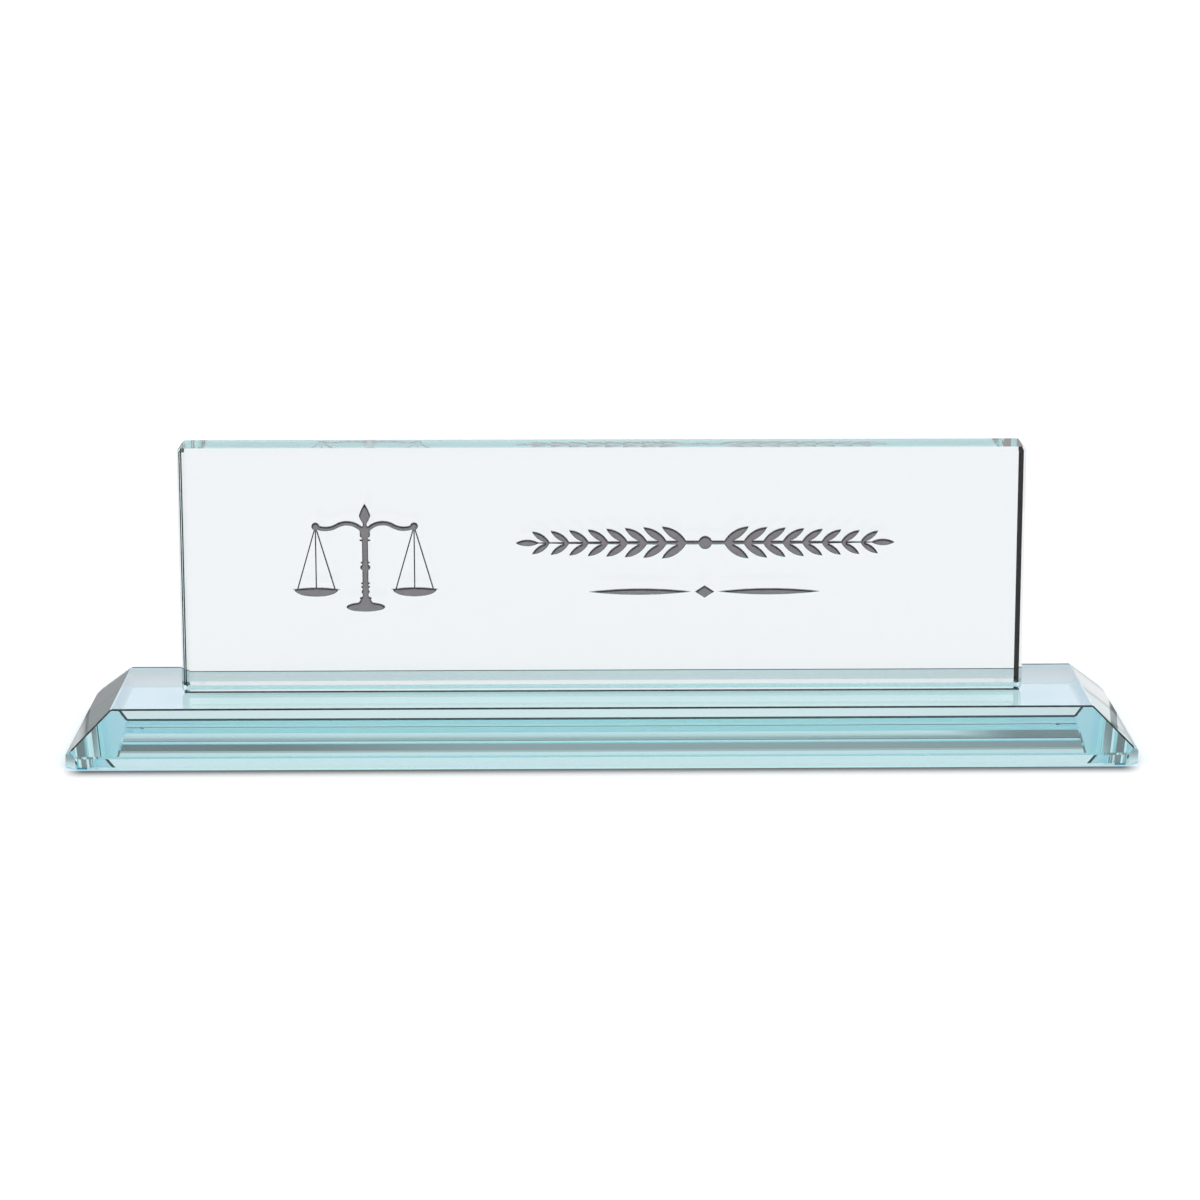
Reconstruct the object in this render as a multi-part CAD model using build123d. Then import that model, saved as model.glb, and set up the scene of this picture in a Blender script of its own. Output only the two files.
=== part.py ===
from math import sqrt
from build123d import *
import os

# A desk name plate of clear jade glass: a slab stands on edge on a bevelled base, held by a film of
# clear adhesive, and grey paint fills the figures that are sand-carved into the slab's front.
# Millimetres, +Z up. The origin is the middle of the base's underside, X runs along the plate, and
# the carved front looks towards -Y.

# Base block
base_length = 254.0
base_depth = 60.0
base_height = 12.0
rim_height = 3.0
bevel_run = 10.0
corner_cut = 3.0

# Upright plate
plate_width = 203.2
plate_height = 60.0
plate_thickness = 12.0
edge_arris = 0.8
# The upright arrises differ a little: the one at the front left is narrower on the face, and at the
# back the left one runs further along the face and the right one further along the end
front_left_arris = 0.55
back_arris_long = 0.95

# Adhesive film between the plate's foot and the base's top
film_thickness = 0.2

# Carving: the depth of every recess and of the paint on its floor
carving_depth = 0.8
paint_depth = 0.4

# Balance scales: the post's axis from the plate's middle, and the foot from the plate's lower edge
scales_offset = -57.0
scales_rise = 20.0
foot_width = 9.2
foot_height = 2.3
flare_width = 6.2
flare_sweep = 0.25
neck_width = 2.3
post_width = 1.4
# Turned rings up the post: height above the foot's underside, width and thickness
post_rings = (
    (3.3, 2.8, 0.9),
    (4.9, 1.9, 1.3),
    (6.1, 2.1, 0.7),
    (7.0, 2.1, 0.6),
    (10.9, 2.4, 1.6),
    (12.1, 2.2, 0.6),
)
beam_height = 21.0
capital_width = 2.4
capital_height = 2.5
capital_drop = 1.45
capital_round = 0.4
collar_width = 2.6
collar_thickness = 0.6
collar_drop = 3.4
finial_width = 2.7
finial_waist = 0.9
finial_waist_rise = 0.7
finial_belly_rise = 2.6
finial_tip_rise = 5.5
finial_fullness = 0.6
# Beam arms: each rises from the capital to a crest, falls past a crossing to a dip and ends in a ball
arm_thickness = 1.05
arm_root_reach = 0.6
arm_root_drop = 1.0
crest_reach = 3.8
crest_rise = 0.75
crossing_reach = 6.7
crossing_rise = 0.12
dip_reach = 9.6
dip_drop = 0.6
ball_reach = 11.8
ball_radius = 0.92
# Pans: a thin pointed rim over a shallow bowl, hung on three cords
pan_height = 5.5
pan_width = 11.4
rim_rise = 0.45
rim_fall = 0.35
bowl_width = 10.4
bowl_depth = 1.75
cord_width = 0.27
cord_spread = 4.5

# Leaf band: pairs of leaves that lean outwards along a pointed stem, from a bead in the middle
band_offset = 24.6
band_rise = 36.8
stem_length = 91.0
stem_half_thickness = 0.45
bead_radius = 1.6
leaf_pairs = 8
first_leaf = 4.4
leaf_pitch = 4.7
leaf_lean = 33.0
leaf_length = 7.2
leaf_shortening = 0.3
leaf_slenderness = 3.6
end_leaf_length = 5.6

# Swelled rule: a lozenge between two pointed bars
rule_offset = 24.5
rule_rise = 24.7
rule_length = 55.6
rule_half_thickness = 0.75
lozenge_width = 4.6
lozenge_height = 3.0
lozenge_gap = 1.0

plate_bottom = base_height + film_thickness
carved_face = Plane(
    origin=(0, -plate_thickness / 2, plate_bottom),
    x_dir=(1, 0, 0),
    z_dir=(0, -1, 0),
)


def lens(length, rise, fall):
    """A shape along X with pointed ends, one arc above the line between them and one below."""
    tip = length / 2
    upper = ThreePointArc((-tip, 0), (0, rise), (tip, 0))
    lower = ThreePointArc((tip, 0), (0, -fall), (-tip, 0))
    return make_face([upper, lower])


def base_block():
    """Rim and bevel stacked, with the four upright corners cut off."""
    bevel_height = base_height - rim_height
    foot = Rectangle(base_length, base_depth)
    top = Rectangle(base_length - 2 * bevel_run, base_depth - 2 * bevel_run)
    rim = extrude(foot, rim_height)
    bevel = loft([Pos(0, 0, rim_height) * foot, Pos(0, 0, base_height) * top], ruled=True)
    outline = chamfer(foot.vertices(), corner_cut)
    return (rim + bevel) & extrude(outline, base_height)


def bond_film():
    """Fills the joint under the flat of the plate's lower edge."""
    flat_width = plate_width - 2 * edge_arris
    flat_depth = plate_thickness - 2 * edge_arris
    return Pos(0, 0, base_height) * extrude(Rectangle(flat_width, flat_depth), film_thickness)


def scales_post():
    """Foot, turned post, capital and finial of the scales, on the post's axis."""
    foot_middle = foot_height / 2
    post_height = beam_height - foot_middle
    post = Pos(0, foot_middle) * Ellipse(foot_width / 2, foot_middle)
    post += Pos(0, foot_middle + post_height / 2) * Rectangle(post_width, post_height)
    neck_height = post_rings[0][0]
    flank_top = (neck_width / 2, neck_height)
    flank_end = (flare_width / 2, foot_middle + foot_middle * sqrt(1 - (flare_width / foot_width) ** 2))
    flank_middle = (
        flank_top[0] + flare_sweep * (flank_end[0] - flank_top[0]),
        flank_end[1] + flare_sweep * (flank_top[1] - flank_end[1]),
    )
    flank = ThreePointArc(flank_top, flank_middle, flank_end)
    axis = Polyline(flank_end, (flare_width / 2, foot_middle), (0, foot_middle), (0, neck_height), flank_top)
    half_flare = make_face(flank.edges() + axis.edges())
    post += half_flare + mirror(half_flare, about=Plane.YZ)
    for height, width, thickness in post_rings:
        post += Pos(0, height) * Ellipse(width / 2, thickness / 2)
    post += Pos(0, beam_height - collar_drop) * Ellipse(collar_width / 2, collar_thickness / 2)
    capital = RectangleRounded(capital_width, capital_height, capital_round)
    post += Pos(0, beam_height - capital_drop) * capital
    tip = (0, beam_height + finial_tip_rise)
    belly = (finial_width / 2, beam_height + finial_belly_rise)
    waist = (finial_waist / 2, beam_height + finial_waist_rise)
    shoulder = (finial_fullness * belly[0], (tip[1] + belly[1]) / 2)
    hip = ((belly[0] + waist[0]) / 2, waist[1] + (belly[1] - waist[1]) * (1 - finial_fullness))
    root = (finial_waist / 2, beam_height - capital_drop)
    axis_root = (0, beam_height - capital_drop)
    upper_flank = ThreePointArc(tip, shoulder, belly)
    lower_flank = ThreePointArc(belly, hip, waist)
    axis = Polyline(waist, root, axis_root, tip)
    half_finial = make_face(upper_flank.edges() + lower_flank.edges() + axis.edges())
    return post + half_finial + mirror(half_finial, about=Plane.YZ)


def scales_arm():
    """The beam's right arm, its ball, and the pan that hangs from it on three cords."""
    root = (arm_root_reach, beam_height - arm_root_drop)
    crest = (crest_reach, beam_height + crest_rise)
    crossing = (crossing_reach, beam_height + crossing_rise)
    dip = (dip_reach, beam_height - dip_drop)
    ball = (ball_reach, beam_height)
    rising = ThreePointArc(root, crest, crossing)
    falling = ThreePointArc(crossing, dip, ball)
    arm = trace([rising, falling], arm_thickness)
    arm += Pos(*ball) * Circle(ball_radius)
    arm += Pos(ball_reach, pan_height) * lens(pan_width, rim_rise, rim_fall)
    lower_half = Pos(0, -bowl_depth / 2) * Rectangle(bowl_width, bowl_depth)
    arm += Pos(ball_reach, pan_height) * (Ellipse(bowl_width / 2, bowl_depth) & lower_half)
    for side in (-1, 0, 1):
        cord = Line(ball, (ball_reach + side * cord_spread, pan_height))
        arm += trace(cord, cord_width)
    return arm


def scales():
    """Balance scales, with the middle of the foot's underside at the origin."""
    arm = scales_arm()
    return scales_post() + arm + mirror(arm, about=Plane.YZ)


def leaf(length):
    """One leaf along X."""
    half_width = length / leaf_slenderness / 2
    return lens(length, half_width, half_width)


def leaf_band():
    """A pointed stem with leaves on both sides, the same to the left as to the right."""
    half = Pos(stem_length / 2 - end_leaf_length / 2, 0) * leaf(end_leaf_length)
    for pair in range(leaf_pairs):
        length = leaf_length - pair * leaf_shortening
        for lean in (leaf_lean, -leaf_lean):
            root = Pos(first_leaf + pair * leaf_pitch, 0) * Rot(0, 0, lean)
            half += root * Pos(length / 2, 0) * leaf(length)
    stem = lens(stem_length, stem_half_thickness, stem_half_thickness)
    return stem + Circle(bead_radius) + half + mirror(half, about=Plane.YZ)


def swelled_rule():
    """A lozenge between two bars that come to a point at both ends."""
    side = lozenge_width / 2
    peak = lozenge_height / 2
    lozenge = make_face(Polyline((side, 0), (0, peak), (-side, 0), (0, -peak), close=True))
    bar_start = side + lozenge_gap
    bar_length = rule_length / 2 - bar_start
    bar = Pos(bar_start + bar_length / 2, 0) * lens(bar_length, rule_half_thickness, rule_half_thickness)
    return lozenge + bar + mirror(bar, about=Plane.YZ)


def carving(figure, offset, rise):
    """A figure as the recess to cut into the plate and the paint that lies on the recess's floor."""
    placed = Pos(offset, rise) * figure
    recess = extrude(carved_face * placed, -carving_depth)
    paint = extrude(carved_face.offset(-carving_depth) * placed, paint_depth)
    return recess, paint


def upright_plate(recesses):
    """The slab with all its edges arrised and the recesses cut into its front."""
    end = plate_width / 2
    back = plate_thickness / 2
    outline = Polyline(
        (-end, edge_arris - back),
        (front_left_arris - end, -back),
        (end - edge_arris, -back),
        (end, edge_arris - back),
        (end, back - back_arris_long),
        (end - edge_arris, back),
        (back_arris_long - end, back),
        (-end, back - edge_arris),
        close=True,
    )
    slab = Pos(0, 0, plate_bottom) * extrude(make_face(outline), plate_height)
    foot, top = slab.faces().filter_by(Axis.Z).sort_by(Axis.Z)
    slab = chamfer(foot.edges() + top.edges(), edge_arris)
    for recess in recesses:
        slab -= recess
    return slab


scales_recess, scales_paint = carving(scales(), scales_offset, scales_rise)
band_recess, band_paint = carving(leaf_band(), band_offset, band_rise)
rule_recess, rule_paint = carving(swelled_rule(), rule_offset, rule_rise)

nodes = {
    "base_block": base_block(),
    "upright_plate": upright_plate([scales_recess, band_recess, rule_recess]),
    "bond_film": bond_film(),
    "emblem_infill": scales_paint,
    "leaf_band_infill": band_paint,
    "swelled_rule_infill": rule_paint,
}

os.makedirs("parts", exist_ok=True)
for name, solid in nodes.items():
    export_step(solid, f"parts/{name}.step")
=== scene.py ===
import math

import bmesh
import bpy
from mathutils import Matrix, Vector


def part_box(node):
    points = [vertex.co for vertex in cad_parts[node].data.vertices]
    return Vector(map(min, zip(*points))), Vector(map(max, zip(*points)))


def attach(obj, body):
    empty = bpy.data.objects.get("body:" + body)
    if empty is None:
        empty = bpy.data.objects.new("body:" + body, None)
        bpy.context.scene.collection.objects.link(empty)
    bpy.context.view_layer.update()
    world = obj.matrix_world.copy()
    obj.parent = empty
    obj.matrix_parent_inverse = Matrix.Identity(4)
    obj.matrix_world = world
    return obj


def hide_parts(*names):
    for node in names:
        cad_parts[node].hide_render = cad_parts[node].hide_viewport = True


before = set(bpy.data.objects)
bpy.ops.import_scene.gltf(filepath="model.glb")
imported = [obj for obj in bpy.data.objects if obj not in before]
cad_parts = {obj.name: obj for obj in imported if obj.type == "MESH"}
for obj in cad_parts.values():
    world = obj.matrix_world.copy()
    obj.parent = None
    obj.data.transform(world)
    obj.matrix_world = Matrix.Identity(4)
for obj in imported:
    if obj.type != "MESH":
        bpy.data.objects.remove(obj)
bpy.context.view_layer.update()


# Base block
# A slab of 12 mm jade-tinted glass that lies flat and carries the plate. Its four sides are ground
# to a polished bevel above an upright rim, its corners are cut off, and a fine seam breaks every edge.
rim_height = 0.003
bevel_run = 0.010
corner_cut = 0.003
seam_width = 0.00035
seam_angle = math.radians(30)
dark_seam_width = 0.0004
level_tolerance = 0.0001
flat_angle = math.radians(1)

glass_index = 1.52
glass_tint = (0.06, 0.70, 0.75)
glass_tint_density = 9.0
glass_clear = (0.98, 0.95, 0.955)
wave_scale = 45
wave_detail = 1
wave_height = 0.000003

# Painted dark lines: the strips below take this black and bend almost no light
painted_line_black = (0, 0, 0)
painted_line_index = 1.01
painted_line_depth = 0.001
left_strip_place = 0.00025
left_strip_width = 0.0003
right_strip_width = 0.001
edge_strip_width = 0.0012
joint_tolerance = 0.00005

# The painted colour of the dark seams, with a fine grain
seam_roughness = 0.3
painted_seam_grain = {
    "Scale": 900,
    "Detail": 2,
    "Low": 0.35,
    "High": 0.7,
    "Dark": (0.008, 0.02, 0.02, 1),
    "Light": (0.04, 0.08, 0.08, 1),
}

base_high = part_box("base_block")[1]
half_length = base_high[0]
half_depth = base_high[1]
base_top = base_high[2]
plate_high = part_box("upright_plate")[1]
film_low, film_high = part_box("bond_film")


def mesh_piece(name, shape, material, node):
    """A finished mesh as a piece that stands for a node of the frame."""
    mesh = bpy.data.meshes.new(name)
    bmesh.ops.recalc_face_normals(shape, faces=shape.faces)
    shape.to_mesh(mesh)
    shape.free()
    mesh.materials.append(material)
    piece = bpy.data.objects.new(name, mesh)
    bpy.context.collection.objects.link(piece)
    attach(piece, "root")
    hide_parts(node)
    return piece


def add_node(tree, kind, **settings):
    """A shader node with its settings."""
    node = tree.nodes.new(kind)
    for name, value in settings.items():
        setattr(node, name, value)
    return node


def feed(tree, socket, value):
    """Links a socket into another one, or sets a number or colour on it."""
    if isinstance(value, bpy.types.NodeSocket):
        tree.links.new(value, socket)
    else:
        socket.default_value = value


def maths(tree, operation, *values):
    """The output of a Math node, whose inputs are sockets or numbers."""
    node = add_node(tree, "ShaderNodeMath", operation=operation)
    for socket, value in zip(node.inputs, values):
        feed(tree, socket, value)
    return node.outputs[0]


def product(tree, first, *others):
    """All the values multiplied."""
    for other in others:
        first = maths(tree, "MULTIPLY", first, other)
    return first


def remainder(tree, share):
    """What a share leaves of the whole."""
    return maths(tree, "SUBTRACT", 1, share)


def blend(tree, share, first, second):
    """A colour between two others, each a socket or three numbers."""
    node = add_node(tree, "ShaderNodeMix", data_type="RGBA")
    tree.links.new(share, node.inputs["Factor"])
    for socket, colour in zip(node.inputs[6:8], (first, second)):
        feed(tree, socket, colour if isinstance(colour, bpy.types.NodeSocket) else (*colour, 1))
    return node.outputs[2]


def split(tree, vector):
    """The three axes of a vector."""
    node = add_node(tree, "ShaderNodeSeparateXYZ")
    tree.links.new(vector, node.inputs[0])
    return node.outputs


def new_material(name):
    """A material with its tree and its Principled shader."""
    material = bpy.data.materials.new(name)
    material.use_nodes = True
    tree = material.node_tree
    return material, tree, tree.nodes["Principled BSDF"]


def object_place(tree):
    """The place on the object, in metres."""
    return add_node(tree, "ShaderNodeTexCoord").outputs["Object"]


def grain_group():
    """A node group with fine grain between a dark and a light colour, and the grain's height."""
    group = bpy.data.node_groups.new("grain", "ShaderNodeTree")
    for name in ("Scale", "Detail", "Low", "High"):
        group.interface.new_socket(name, in_out="INPUT", socket_type="NodeSocketFloat")
    for name in ("Dark", "Light"):
        group.interface.new_socket(name, in_out="INPUT", socket_type="NodeSocketColor")
    group.interface.new_socket("Place", in_out="INPUT", socket_type="NodeSocketVector")
    group.interface.new_socket("Colour", in_out="OUTPUT", socket_type="NodeSocketColor")
    group.interface.new_socket("Height", in_out="OUTPUT", socket_type="NodeSocketFloat")
    given = add_node(group, "NodeGroupInput").outputs
    result = add_node(group, "NodeGroupOutput").inputs
    noise = add_node(group, "ShaderNodeTexNoise")
    group.links.new(given["Place"], noise.inputs["Vector"])
    group.links.new(given["Scale"], noise.inputs["Scale"])
    group.links.new(given["Detail"], noise.inputs["Detail"])
    share = add_node(group, "ShaderNodeMapRange")
    group.links.new(noise.outputs[0], share.inputs["Value"])
    group.links.new(given["Low"], share.inputs["From Min"])
    group.links.new(given["High"], share.inputs["From Max"])
    group.links.new(blend(group, share.outputs[0], given["Dark"], given["Light"]), result["Colour"])
    group.links.new(noise.outputs[0], result["Height"])
    return group


def grained(tree, values):
    """The grain with a material's own values: its colour and its height."""
    node = add_node(tree, "ShaderNodeGroup", node_tree=grain)
    tree.links.new(object_place(tree), node.inputs["Place"])
    for name, value in values.items():
        node.inputs[name].default_value = value
    return node.outputs


def jade_glass():
    """Polished glass that tints what lies behind a long way through it."""
    material, tree, shader = new_material("jade_glass")
    shader.inputs["Transmission Weight"].default_value = 1
    shader.inputs["Roughness"].default_value = 0
    tint = add_node(tree, "ShaderNodeVolumeAbsorption")
    tint.inputs["Color"].default_value = (*glass_tint, 1)
    tint.inputs["Density"].default_value = glass_tint_density
    tree.links.new(tint.outputs[0], tree.nodes["Material Output"].inputs["Volume"])
    place = object_place(tree)

    # Polishing leaves the faces a little wavy
    wave = add_node(tree, "ShaderNodeTexNoise")
    wave.inputs["Scale"].default_value = wave_scale
    wave.inputs["Detail"].default_value = wave_detail
    tree.links.new(place, wave.inputs["Vector"])
    polish = add_node(tree, "ShaderNodeBump")
    polish.inputs["Distance"].default_value = wave_height
    tree.links.new(wave.outputs[0], polish.inputs["Height"])
    tree.links.new(polish.outputs[0], shader.inputs["Normal"])

    # Strips along the upright arrises at the plate's back are painted black and bend almost no light, as
    # painted dark lines in place of the dark reflections there. One along the base's back top edge is
    # painted black only for light that comes from outside
    x, y, z = split(tree, place)
    surface = add_node(tree, "ShaderNodeNewGeometry")
    from_outside = remainder(tree, surface.outputs["Backfacing"])
    on_plate = maths(tree, "GREATER_THAN", z, base_top + joint_tolerance)
    at_back = maths(tree, "GREATER_THAN", y, plate_high[1] - painted_line_depth)
    from_left = maths(tree, "SUBTRACT", x, -plate_high[0])
    on_left = maths(tree, "COMPARE", from_left, left_strip_place, left_strip_width / 2)
    on_right = maths(tree, "GREATER_THAN", x, plate_high[0] - right_strip_width)
    arris_painted_line = product(tree, on_plate, at_back, maths(tree, "MAXIMUM", on_left, on_right))
    at_edge = maths(tree, "GREATER_THAN", y, half_depth - bevel_run - edge_strip_width)
    on_top = maths(tree, "COMPARE", z, base_top, joint_tolerance)
    edge_painted_line = product(tree, at_edge, on_top, from_outside)
    painted_line = maths(tree, "MAXIMUM", arris_painted_line, edge_painted_line)
    tree.links.new(blend(tree, painted_line, glass_clear, painted_line_black), shader.inputs["Base Color"])
    bending = maths(tree, "MULTIPLY_ADD", painted_line, painted_line_index - glass_index, glass_index)
    tree.links.new(bending, shader.inputs["IOR"])

    # Down through the plate's foot the adhesive lets one see into the base, and from inside the base
    # the joint mirrors like the rest of the top
    inside_length = maths(tree, "LESS_THAN", maths(tree, "ABSOLUTE", x), film_high[0])
    inside_depth = maths(tree, "LESS_THAN", maths(tree, "ABSOLUTE", y), film_high[1])
    at_foot = maths(tree, "COMPARE", z, film_high[2], joint_tolerance)
    at_joint = maths(tree, "MAXIMUM", at_foot, product(tree, on_top, from_outside))
    bonded = product(tree, inside_length, inside_depth, at_joint)
    tree.links.new(remainder(tree, bonded), shader.inputs["Alpha"])
    return material


def painted_dark_seam():
    """Dark opaque glass, painted dark lines along the seams it covers."""
    material, tree, shader = new_material("painted_dark_seam")
    shader.inputs["Roughness"].default_value = seam_roughness
    tree.links.new(grained(tree, painted_seam_grain)["Colour"], shader.inputs["Base Color"])
    return material


grain = grain_group()
glass = jade_glass()
mitre_share = corner_cut / (2 * bevel_run)
mitre_inset = mitre_share * bevel_run
mitre_height = rim_height + mitre_share * (base_top - rim_height)

block = bmesh.new()
for end in (-1, 1):
    for side in (-1, 1):
        for height in (0, rim_height):
            block.verts.new((end * half_length, side * (half_depth - corner_cut), height))
            block.verts.new((end * (half_length - corner_cut), side * half_depth, height))
        block.verts.new((end * (half_length - mitre_inset), side * (half_depth - mitre_inset), mitre_height))
        block.verts.new((end * (half_length - bevel_run), side * (half_depth - bevel_run), base_top))
bmesh.ops.convex_hull(block, input=block.verts)
bmesh.ops.dissolve_limit(block, angle_limit=flat_angle, verts=block.verts, edges=block.edges)
# Painted dark lines: the seams on the mitres and along the long top and bottom edges get a dark material in
# place of the dark reflections and shade that show along them
seam_weight = block.edges.layers.float.new("bevel_weight_edge")
for edge in block.edges:
    lower, upper = sorted(edge.verts, key=lambda point: point.co.z)
    level = upper.co.z - lower.co.z < level_tolerance
    lengthwise = abs(lower.co.y - upper.co.y) < level_tolerance
    at_rim = abs(lower.co.z - rim_height) < level_tolerance
    on_mitre = not level and lower.co.z > rim_height + level_tolerance
    if on_mitre or (level and lengthwise and not at_rim):
        edge[seam_weight] = 1
base = mesh_piece("base", block, glass, "base_block")
base.data.materials.append(painted_dark_seam())
dark_seam = base.modifiers.new("dark seam", "BEVEL")
dark_seam.width = dark_seam_width
dark_seam.segments = 1
dark_seam.limit_method = "WEIGHT"
dark_seam.material = 1
seam = base.modifiers.new("seam", "BEVEL")
seam.width = seam_width
seam.segments = 1
seam.limit_method = "ANGLE"
seam.angle_limit = seam_angle


# Adhesive film
# A thin layer of clear cured adhesive that holds the plate on the base. A little of it was pressed
# out all round into the groove under the plate's arris, and along the front the bead is painted dark,
# as painted shade in the crevice under the arris.
bead_reach = 0.0003
bead_hollow = 0.6
bead_shade_colour = (0.02, 0.05, 0.05)
bead_roughness = 0.25
bead_cover = 0.9
film_clearance = 0.00003

film_middle = (film_low[2] + film_high[2]) / 2


def clear_adhesive():
    """Clear in the joint, at the ends and at the back; along the bead at the front, painted dark as shade."""
    material, tree, shader = new_material("clear_adhesive")
    shader.inputs["Base Color"].default_value = (*bead_shade_colour, 1)
    shader.inputs["Roughness"].default_value = bead_roughness
    across = split(tree, object_place(tree))["Y"]
    front_bead = maths(tree, "LESS_THAN", across, film_low[1])
    tree.links.new(maths(tree, "MULTIPLY", front_bead, bead_cover), shader.inputs["Alpha"])
    return material


def ring(shape, reach, height):
    """Four points of a rectangle, a reach outside the film's edge."""
    length = film_high[0] + reach
    depth = film_high[1] + reach
    corners = ((-length, -depth), (length, -depth), (length, depth), (-length, depth))
    return [shape.verts.new((x, y, height)) for x, y in corners]


joint = bmesh.new()
film_rings = [
    ring(joint, 0, film_high[2] - film_clearance),
    ring(joint, bead_reach, film_high[2] + bead_reach - film_clearance),
    ring(joint, bead_reach * bead_hollow, film_middle),
    ring(joint, bead_reach, film_low[2] + film_clearance),
    ring(joint, 0, film_low[2] + film_clearance),
]
joint.faces.new(film_rings[0])
joint.faces.new(film_rings[-1])
for upper, lower in zip(film_rings, film_rings[1:]):
    for corner in range(4):
        following = (corner + 1) % 4
        joint.faces.new((upper[corner], upper[following], lower[following], lower[corner]))
mesh_piece("adhesive", joint, clear_adhesive(), "bond_film")


# Upright plate
# A slab of the same glass that stands on its long edge, with all its edges arrised and polished. The
# figures are sand-carved into its front.
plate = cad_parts["upright_plate"]
plate.material_slots[0].material = glass


# Carved figures
# Matt grey paint, sprayed onto the frosted floor of the carving: balance scales, a band of leaves and
# a swelled rule. The paint keys into the blasted glass.
paint_key = 0.00002
weld_reach = 0.000002
paint_roughness = 0.75
paint_gloss = 0.3
paint_relief = 0.3
paint_grain = {
    "Scale": 3500,
    "Detail": 3,
    "Low": 0.3,
    "High": 0.7,
    "Dark": (0.215, 0.20, 0.208, 1),
    "Light": (0.265, 0.25, 0.258, 1),
}
shade_colour = (0.03, 0.028, 0.03)
shade_reach = 0.0006
shade_full = 0.5
shade_none = 0.85
shade_samples = 8
light_from = (0, -0.5, 0.87)
frosted_colour = (0.62, 0.64, 0.64)
facing_back = 0.5


def soft_step(tree, value, low, high):
    """A smooth step of a value, from nothing below the low bound to all above the high one."""
    node = add_node(tree, "ShaderNodeMapRange", interpolation_type="SMOOTHSTEP")
    tree.links.new(value, node.inputs["Value"])
    node.inputs["From Min"].default_value = low
    node.inputs["From Max"].default_value = high
    return node.outputs[0]


def grey_paint():
    """Matt paint, grainy from the blasted glass under it, with painted shade where the wall above it shades
    it.
    """
    material, tree, shader = new_material("grey_paint")
    shader.inputs["Roughness"].default_value = paint_roughness
    shader.inputs["Specular IOR Level"].default_value = paint_gloss
    coat = grained(tree, paint_grain)

    # Painted shade: the colour darkens along the upper edges of a figure, where the wall of the carving keeps
    # the light from above off them
    upward = add_node(tree, "ShaderNodeCombineXYZ")
    for socket, value in zip(upward.inputs, light_from):
        socket.default_value = value
    open_above = add_node(tree, "ShaderNodeAmbientOcclusion", samples=shade_samples)
    open_above.inputs["Distance"].default_value = shade_reach
    tree.links.new(upward.outputs[0], open_above.inputs["Normal"])
    shade = remainder(tree, soft_step(tree, open_above.outputs["AO"], shade_full, shade_none))
    shaded = blend(tree, shade, coat["Colour"], shade_colour)

    # From behind, the frosted floor of the carving shows pale
    facing = split(tree, add_node(tree, "ShaderNodeNewGeometry").outputs["True Normal"])["Y"]
    behind = maths(tree, "GREATER_THAN", facing, facing_back)
    tree.links.new(blend(tree, behind, shaded, frosted_colour), shader.inputs["Base Color"])
    relief = add_node(tree, "ShaderNodeBump")
    relief.inputs["Strength"].default_value = paint_relief
    relief.inputs["Distance"].default_value = paint_key
    tree.links.new(coat["Height"], relief.inputs["Height"])
    tree.links.new(relief.outputs[0], shader.inputs["Normal"])
    return material


paint = grey_paint()
for name in ("emblem_infill", "leaf_band_infill", "swelled_rule_infill"):
    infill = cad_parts[name]
    infill.material_slots[0].material = paint
    weld = infill.modifiers.new("weld", "WELD")
    weld.merge_threshold = weld_reach
    key = infill.modifiers.new("key", "DISPLACE")
    key.strength = paint_key
    key.mid_level = 0


# Floor
# A plain white table top, with a painted soft shadow of the base on it in front and behind. In the
# glass it also shows painted tinted light under the base, and painted greyer patches beside and behind
# the base's ends.
floor_drop = 0.0001
floor_reach = 8.0
floor_white = (0.97, 0.97, 0.97)
floor_black = (0, 0, 0)
front_shade_depth = 0.85
front_shade_width = 0.004
back_shade_depth = 0.75
back_shade_gain = 0.2
back_shade_width = 0.0013
shade_end = (half_length - 0.005, half_length + 0.001)

end_patch_depth = 0.7
end_patch_side = (0.08, 0.105)
end_patch_back = (0.011, 0.014)
end_patch_left_gap = 0.005
left_patch_depth = 0.57
left_patch_side = (0, 0.004)
left_patch_back = (-0.01, 0.01)

camera_lift = 0.15
glass_lift = 0.03
under_glow = 0.17
under_glow_loss = 0.12
under_glow_fall = (0.005, 0.022)
end_glow_colour = (0.15, 0.65, 1.1)
middle_glow_colour = (0.3, 1, 0.95)


def edge_shade(tree, distance, width):
    """A painted soft shade outside an edge, deepest at the edge."""
    falling = maths(tree, "DIVIDE", maths(tree, "POWER", distance, 2), -width ** 2)
    return product(tree, maths(tree, "EXPONENT", falling), maths(tree, "GREATER_THAN", distance, 0))


floor_mesh = bpy.data.meshes.new("floor")
corners = [(x * floor_reach, y * floor_reach, -floor_drop) for x, y in ((-1, -1), (1, -1), (1, 1), (-1, 1))]
floor_mesh.from_pydata(corners, [], [(0, 1, 2, 3)])
floor_material, floor_tree, floor_shader = new_material("floor")
spot = split(floor_tree, object_place(floor_tree))
x = spot["X"]
y = spot["Y"]
sideways = maths(floor_tree, "ABSOLUTE", x)
ahead = maths(floor_tree, "SUBTRACT", maths(floor_tree, "MULTIPLY", y, -1), half_depth)
behind = maths(floor_tree, "SUBTRACT", y, half_depth)
past_left = maths(floor_tree, "SUBTRACT", maths(floor_tree, "MULTIPLY", x, -1), half_length)
ray = add_node(floor_tree, "ShaderNodeLightPath").outputs
in_glass = maths(floor_tree, "MAXIMUM", ray["Is Glossy Ray"], ray["Is Transmission Ray"])
mirrored = maths(floor_tree, "GREATER_THAN", ray["Glossy Depth"], 0)
from_outside = maths(floor_tree, "LESS_THAN", ray["Transmission Depth"], 1)

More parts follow.
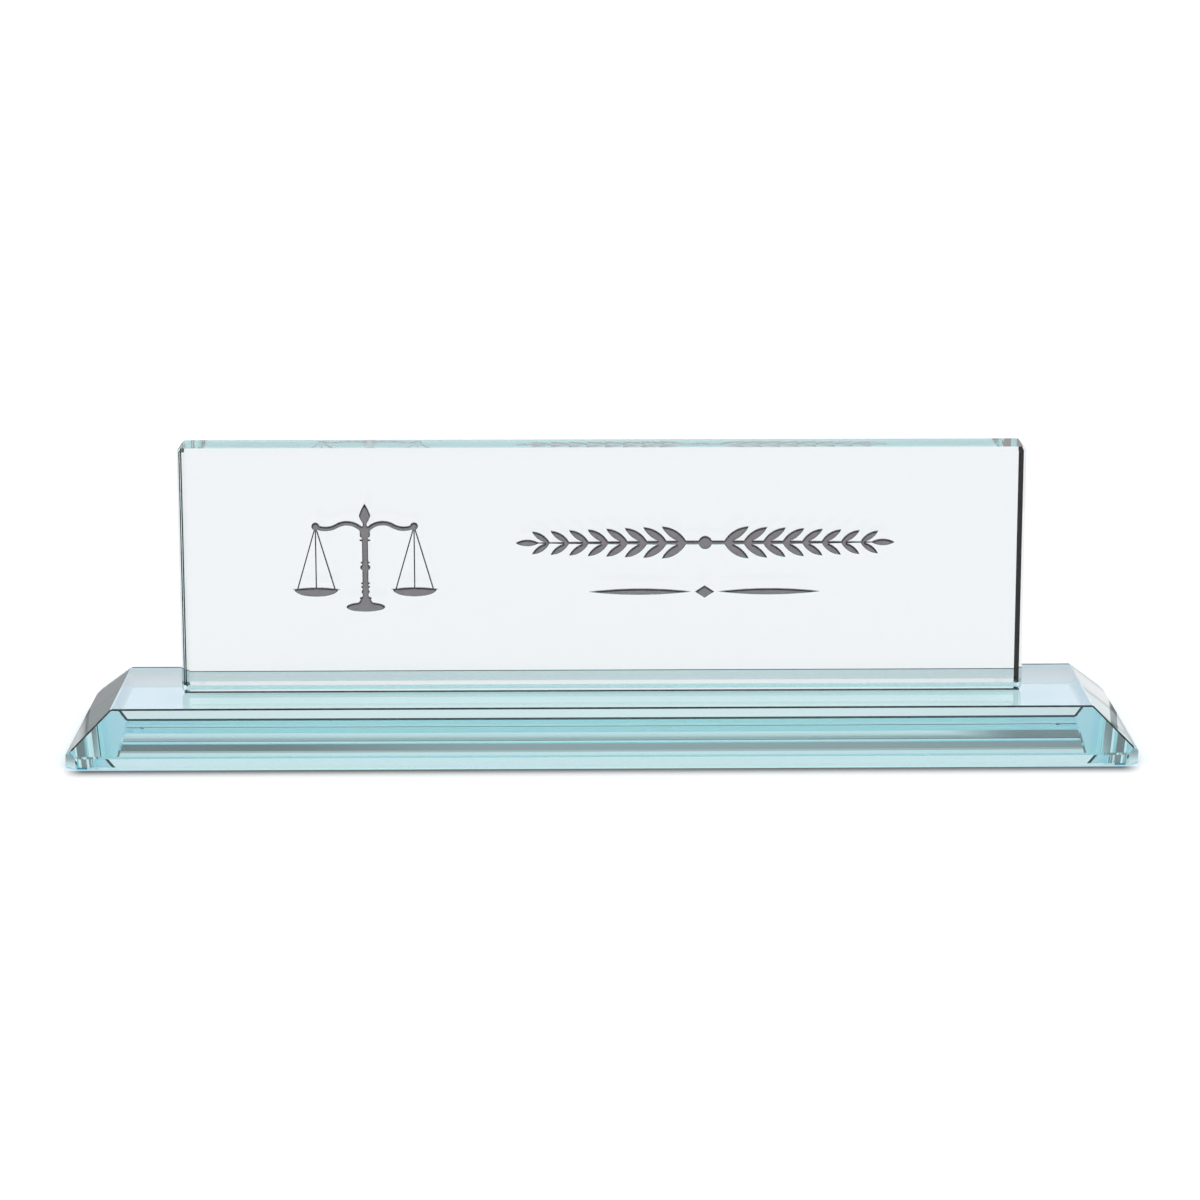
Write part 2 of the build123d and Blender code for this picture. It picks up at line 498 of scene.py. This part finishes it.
# The painted shadow in front, and the narrower one behind, which deepens to the right
front_shade = product(floor_tree, edge_shade(floor_tree, ahead, front_shade_width), front_shade_depth)
rightward = soft_step(floor_tree, x, 0, half_length)
deepening = maths(floor_tree, "MULTIPLY_ADD", rightward, back_shade_gain, back_shade_depth)
back_shade = product(floor_tree, edge_shade(floor_tree, behind, back_shade_width), deepening)
shade = maths(floor_tree, "ADD", front_shade, back_shade)
dimming = product(floor_tree, shade, remainder(floor_tree, soft_step(floor_tree, sideways, *shade_end)))

# Painted darker patches behind the base's ends and to the left of it, which only reflections show
left_gap = product(floor_tree, maths(floor_tree, "LESS_THAN", x, 0), end_patch_left_gap)
end_patch = product(
    floor_tree,
    soft_step(floor_tree, sideways, *end_patch_side),
    remainder(floor_tree, soft_step(floor_tree, behind, *end_patch_back)),
    maths(floor_tree, "GREATER_THAN", behind, left_gap),
    end_patch_depth,
)
dimming = maths(floor_tree, "MAXIMUM", dimming, product(floor_tree, end_patch, mirrored))
left_patch = product(
    floor_tree,
    soft_step(floor_tree, past_left, *left_patch_side),
    left_patch_depth,
    soft_step(floor_tree, behind, *left_patch_back),
)
dimming = maths(floor_tree, "MAXIMUM", dimming, product(floor_tree, left_patch, mirrored, from_outside))
floor_colour = blend(floor_tree, dimming, floor_white, floor_black)

# Painted light under the base, a tinted glow which only the glass shows
covered = product(
    floor_tree,
    maths(floor_tree, "LESS_THAN", maths(floor_tree, "ABSOLUTE", y), half_depth),
    maths(floor_tree, "LESS_THAN", sideways, half_length),
)
loss = product(floor_tree, soft_step(floor_tree, y, *under_glow_fall), under_glow_loss)
glow = maths(floor_tree, "MULTIPLY_ADD", covered, maths(floor_tree, "SUBTRACT", under_glow, loss), glass_lift)
lift = product(floor_tree, ray["Is Camera Ray"], camera_lift)
lift = maths(floor_tree, "MAXIMUM", lift, product(floor_tree, in_glass, glow))
under_plate = maths(floor_tree, "LESS_THAN", sideways, plate_high[0])
glow_colour = blend(floor_tree, under_plate, end_glow_colour, middle_glow_colour)
lift_colour = blend(floor_tree, covered, floor_colour, glow_colour)

floor_tree.links.new(floor_colour, floor_shader.inputs["Base Color"])
floor_tree.links.new(lift_colour, floor_shader.inputs["Emission Color"])
floor_tree.links.new(lift, floor_shader.inputs["Emission Strength"])
floor_shader.inputs["Roughness"].default_value = 1
floor_shader.inputs["Specular IOR Level"].default_value = 0
floor_mesh.materials.append(floor_material)
floor = bpy.data.objects.new("floor", floor_mesh)
bpy.context.collection.objects.link(floor)


# Room
# An even white room lights the plate. The glass shows white backdrops behind and in front of it, with
# walls beside them that are darker behind than in front, and lamps. Angles are in degrees.
backdrop_fall = ((16, 0.95), (24, 0.62), (40, 0.48), (48, 0.38), (56, 0.13), (66, 0.05))
backdrop_foot = 1.0
backdrop_head = 0.05
backdrop_edge = (30, 38)
side_fall = 0.6
side_fall_span = (2, 30)
left_fall = 0.5
left_fall_span = (1, 9)
left_fall_height = (30, 40)
low_band_top = (9, 13)
overhead_start = (66, 72)
lamp_level = 0.7
lamp_left = (-66, -60)
lamp_right = (-32, -28)
lamp_bottom = (22, 26)
lamp_top = (40, 46)
wall_level = 0.22
front_wall_gain = 0.6
# How far forwards a direction points where the front walls begin, and where they are at their palest
front_wall_reach = (0.02, 0.3)
room_colour = (1, 0.99, 1)
straight_up = 90

world = bpy.data.worlds.new("studio")
bpy.context.scene.world = world
world.use_nodes = True
sky = world.node_tree
background = sky.nodes["Background"]
x, y, z = split(sky, add_node(sky, "ShaderNodeTexCoord").outputs["Generated"])
degrees = 180 / math.pi
height = product(sky, maths(sky, "ARCSINE", z), degrees)
bearing = product(sky, maths(sky, "ARCTAN2", x, y), degrees)
across = maths(sky, "ABSOLUTE", x)
along = maths(sky, "ABSOLUTE", y)
turned = product(sky, maths(sky, "ARCTAN2", across, along), degrees)

# The backdrops darken upwards, towards their sides and at the upper left
fall = add_node(sky, "ShaderNodeValToRGB")
sky.links.new(maths(sky, "DIVIDE", height, straight_up), fall.inputs[0])
for angle, level in backdrop_fall:
    stop = fall.color_ramp.elements.new(angle / straight_up)
    stop.color = (level, level, level, 1)
fall.color_ramp.elements[0].color = (backdrop_foot, backdrop_foot, backdrop_foot, 1)
fall.color_ramp.elements[-1].color = (backdrop_head, backdrop_head, backdrop_head, 1)
beside = soft_step(sky, turned, *backdrop_edge)
sideward = product(sky, soft_step(sky, turned, *side_fall_span), side_fall)
leftward = product(sky, soft_step(sky, turned, *left_fall_span), maths(sky, "LESS_THAN", x, 0))
upper_left = product(sky, leftward, soft_step(sky, height, *left_fall_height), left_fall)
backdrop = fall.outputs[0]
for darkening in (beside, sideward, upper_left):
    backdrop = product(sky, backdrop, remainder(sky, darkening))

# A white band along the floor, a light panel overhead, a lamp at the back left, and the walls
low_band = remainder(sky, soft_step(sky, height, *low_band_top))
overhead = soft_step(sky, height, *overhead_start)
side_lamp = product(
    sky,
    soft_step(sky, bearing, *lamp_left),
    remainder(sky, soft_step(sky, bearing, *lamp_right)),
    soft_step(sky, height, *lamp_bottom),
    remainder(sky, soft_step(sky, height, *lamp_top)),
    lamp_level,
)
frontward = soft_step(sky, maths(sky, "MULTIPLY", y, -1), *front_wall_reach)
walls = maths(sky, "MULTIPLY_ADD", product(sky, frontward, beside), front_wall_gain, wall_level)
room = backdrop
for light in (low_band, overhead, side_lamp, walls):
    room = maths(sky, "MAXIMUM", room, light)

# The glass shows this room, and all other rays meet an even white
ray = add_node(sky, "ShaderNodeLightPath").outputs
in_glass = maths(sky, "MAXIMUM", ray["Is Glossy Ray"], ray["Is Transmission Ray"])
in_glass = product(sky, in_glass, maths(sky, "LESS_THAN", ray["Diffuse Depth"], 1))
strength = maths(sky, "MULTIPLY_ADD", in_glass, maths(sky, "SUBTRACT", room, 1), 1)
sky.links.new(strength, background.inputs["Strength"])
background.inputs["Color"].default_value = (*room_colour, 1)


# Camera
# Stands in front of the plate, a little to the left of its middle and above it, and looks down at it.
# The shift puts the plate where the photograph has it in the frame. Angles are in radians.
camera_yaw = 0.0221
camera_pitch = 0.1954
camera_roll = 0.0019
camera_place = (-0.00632, -0.80161, 0.22844)

camera_data = bpy.data.cameras.new("camera")
camera_data.sensor_width = 36.0
camera_data.lens = 101.93
camera_data.shift_x = -0.0416
camera_data.shift_y = -0.1223
camera = bpy.data.objects.new("camera", camera_data)
bpy.context.collection.objects.link(camera)
turn = Matrix.Rotation(-camera_yaw, 4, "Z")
tilt = Matrix.Rotation(math.pi / 2 - camera_pitch, 4, "X")
roll = Matrix.Rotation(camera_roll, 4, "Z")
camera.matrix_world = Matrix.Translation(camera_place) @ turn @ tilt @ roll

scene = bpy.context.scene
scene.camera = camera
scene.view_settings.view_transform = "Standard"
scene.cycles.blur_glossy = 0
scene.cycles.max_bounces = 32
scene.cycles.transmission_bounces = 32
scene.cycles.glossy_bounces = 24
scene.cycles.transparent_max_bounces = 24
